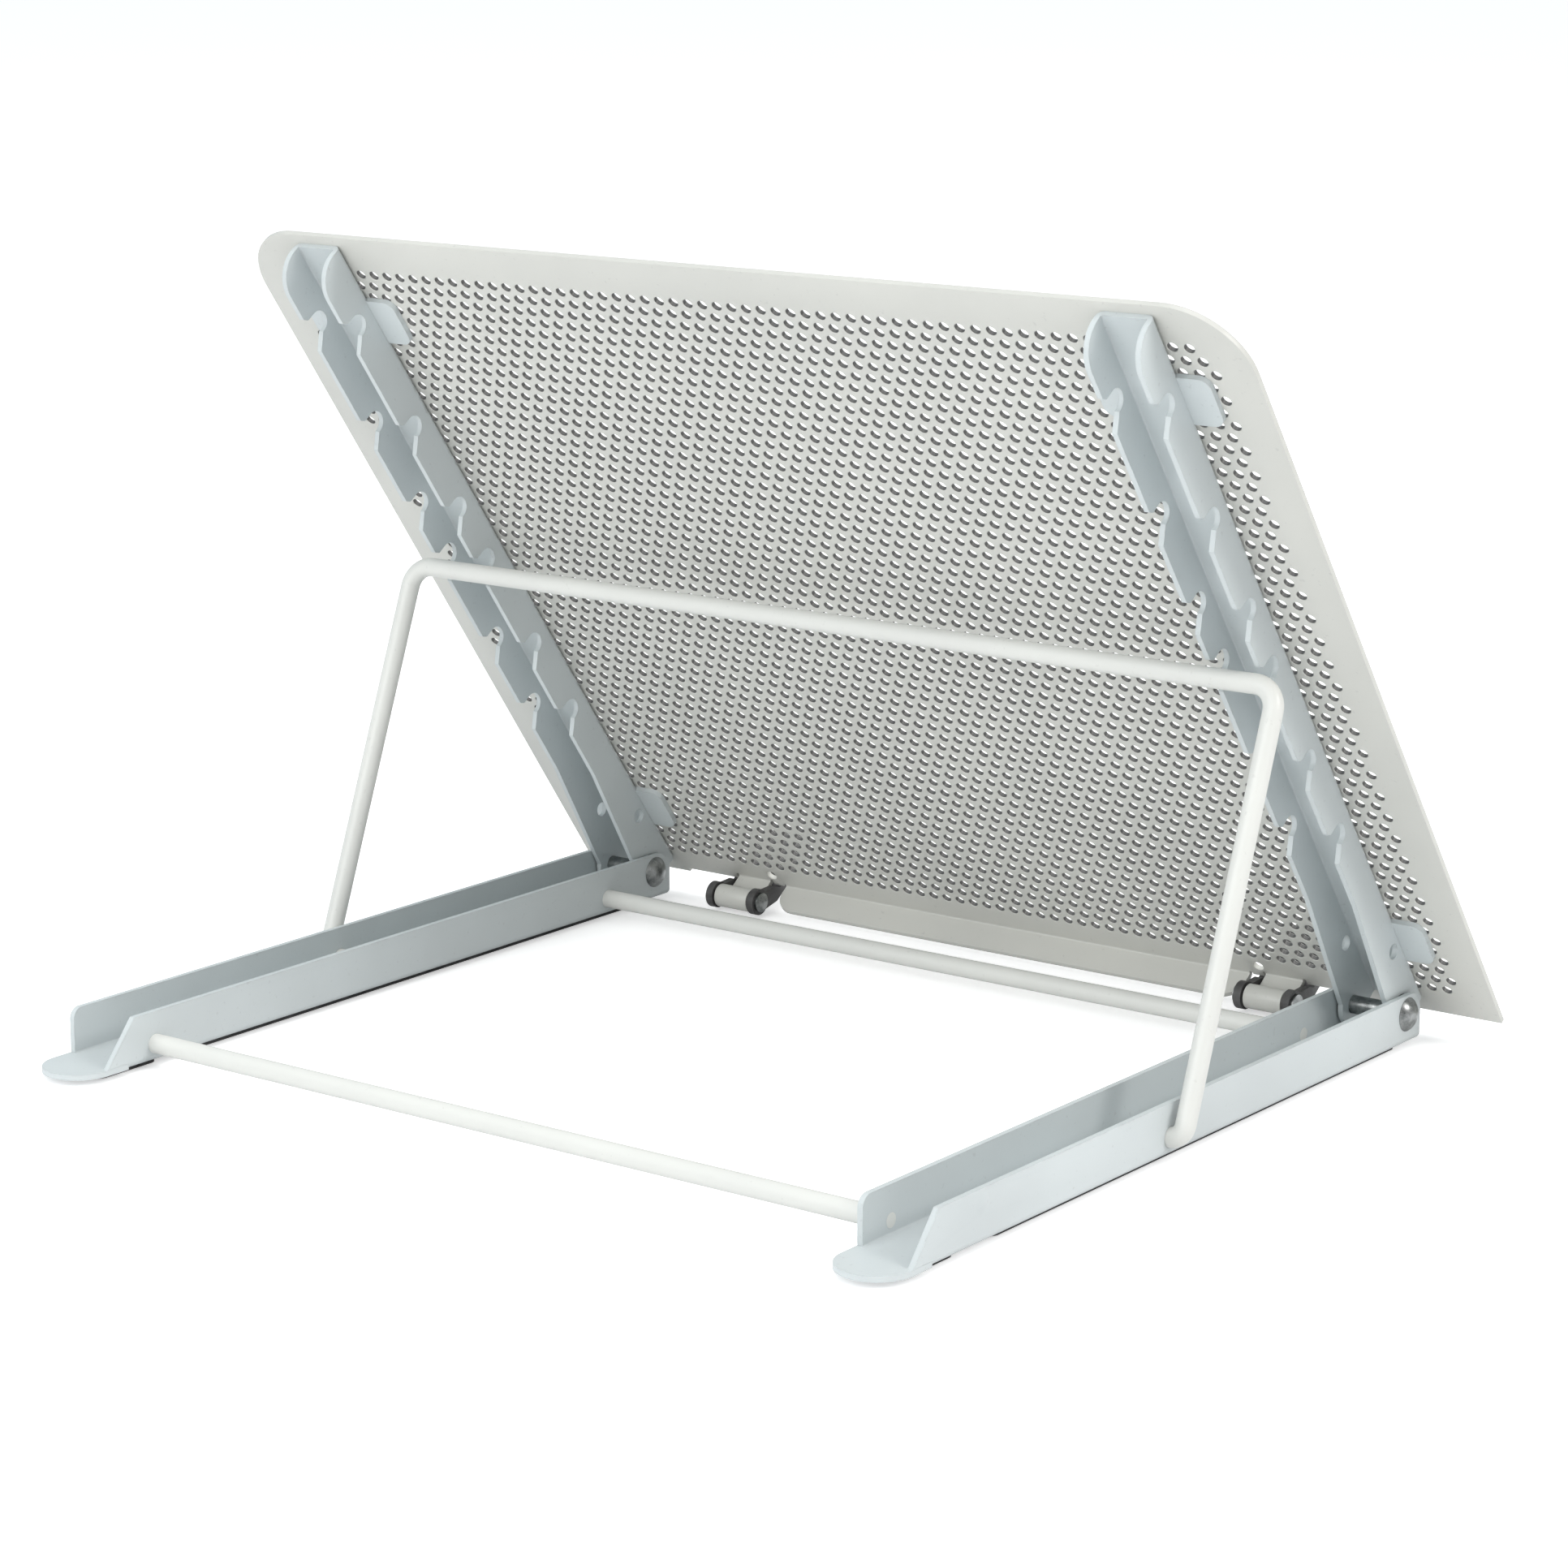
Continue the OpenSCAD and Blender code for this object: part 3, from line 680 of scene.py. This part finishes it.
def make_floor():
    """A wide pale floor with a very slight mottle."""
    mesh = bpy.data.meshes.new("floor")
    corners = [(x * FLOOR_HALF, y * FLOOR_HALF, 0) for x, y in ((-1, -1), (1, -1), (1, 1), (-1, 1))]
    mesh.from_pydata(corners, [], [(0, 1, 2, 3)])
    material, nodes, links, shader = node_material("floor_paper")
    place = nodes.new("ShaderNodeTexCoord").outputs["Object"]
    mottle = noise(nodes, links, place, 3.0, 2.0)
    paper = mix_colour(nodes, links, mottle, (0.90, 0.90, 0.91), (0.92, 0.92, 0.925))
    links.new(paper, shader.inputs["Base Color"])
    shader.inputs["Roughness"].default_value = 0.9
    shader.inputs["Specular IOR Level"].default_value = 0.1
    shader.inputs["Emission Color"].default_value = (1.0, 1.0, 1.0, 1.0)
    links.new(seen_by_camera(nodes, links, 0.0, FLOOR_GLOW), shader.inputs["Emission Strength"])
    mesh.materials.append(material)
    floor = bpy.data.objects.new("floor", mesh)
    floor.location.z = -FLOOR_DROP
    bpy.context.scene.collection.objects.link(floor)


def make_world():
    """A plain dome: white to the camera, and its light is a little bluer on the side of +X."""
    world = bpy.data.worlds.new("studio")
    world.use_nodes = True
    bpy.context.scene.world = world
    nodes, links = world.node_tree.nodes, world.node_tree.links
    background = nodes["Background"]
    split = nodes.new("ShaderNodeSeparateXYZ")
    links.new(nodes.new("ShaderNodeTexCoord").outputs["Generated"], split.inputs["Vector"])
    side = ramp(nodes, links, split.outputs["X"], -0.6, 1.0)
    tint = mix_colour(nodes, links, side, (1.0, 1.0, 0.99), (0.82, 0.94, 1.0))
    direct = seen_by_camera(nodes, links, 0.0, 1.0)
    links.new(mix_colour(nodes, links, direct, tint, (1.0, 1.0, 1.0)), background.inputs["Color"])
    strength = seen_by_camera(nodes, links, WORLD_STRENGTH, BACKDROP_STRENGTH)
    links.new(strength, background.inputs["Strength"])


def make_camera():
    """The camera stands behind the stand, to the left of the user, as in the reference view."""
    data = bpy.data.cameras.new("camera")
    data.lens = CAMERA_LENS
    data.sensor_width = 36.0
    camera = bpy.data.objects.new("camera", data)
    back = Vector((
        math.sin(CAMERA_AZIMUTH) * math.cos(CAMERA_ELEVATION),
        -math.cos(CAMERA_AZIMUTH) * math.cos(CAMERA_ELEVATION),
        math.sin(CAMERA_ELEVATION),
    ))
    camera.location = CAMERA_AT
    camera.rotation_euler = (-back).to_track_quat("-Z", "Y").to_euler()
    bpy.context.scene.collection.objects.link(camera)
    bpy.context.scene.camera = camera


panel = make_panel()
# The second slot is the painted shade of the hole walls.
for paint in ("plate_paint", "painted_shade_hole_wall"):
    panel.data.materials.append(MATERIALS[paint])
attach(panel, "plate")
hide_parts("perforated_plate")
finish_cad_nodes()

make_floor()
make_world()
centre = (cad_low + cad_high) / 2
for light_name, (place, size, power, colour) in LIGHTS.items():
    area_light(light_name, Vector(place), centre, size, power, colour)
make_camera()
bpy.context.scene.view_settings.view_transform = "Standard"
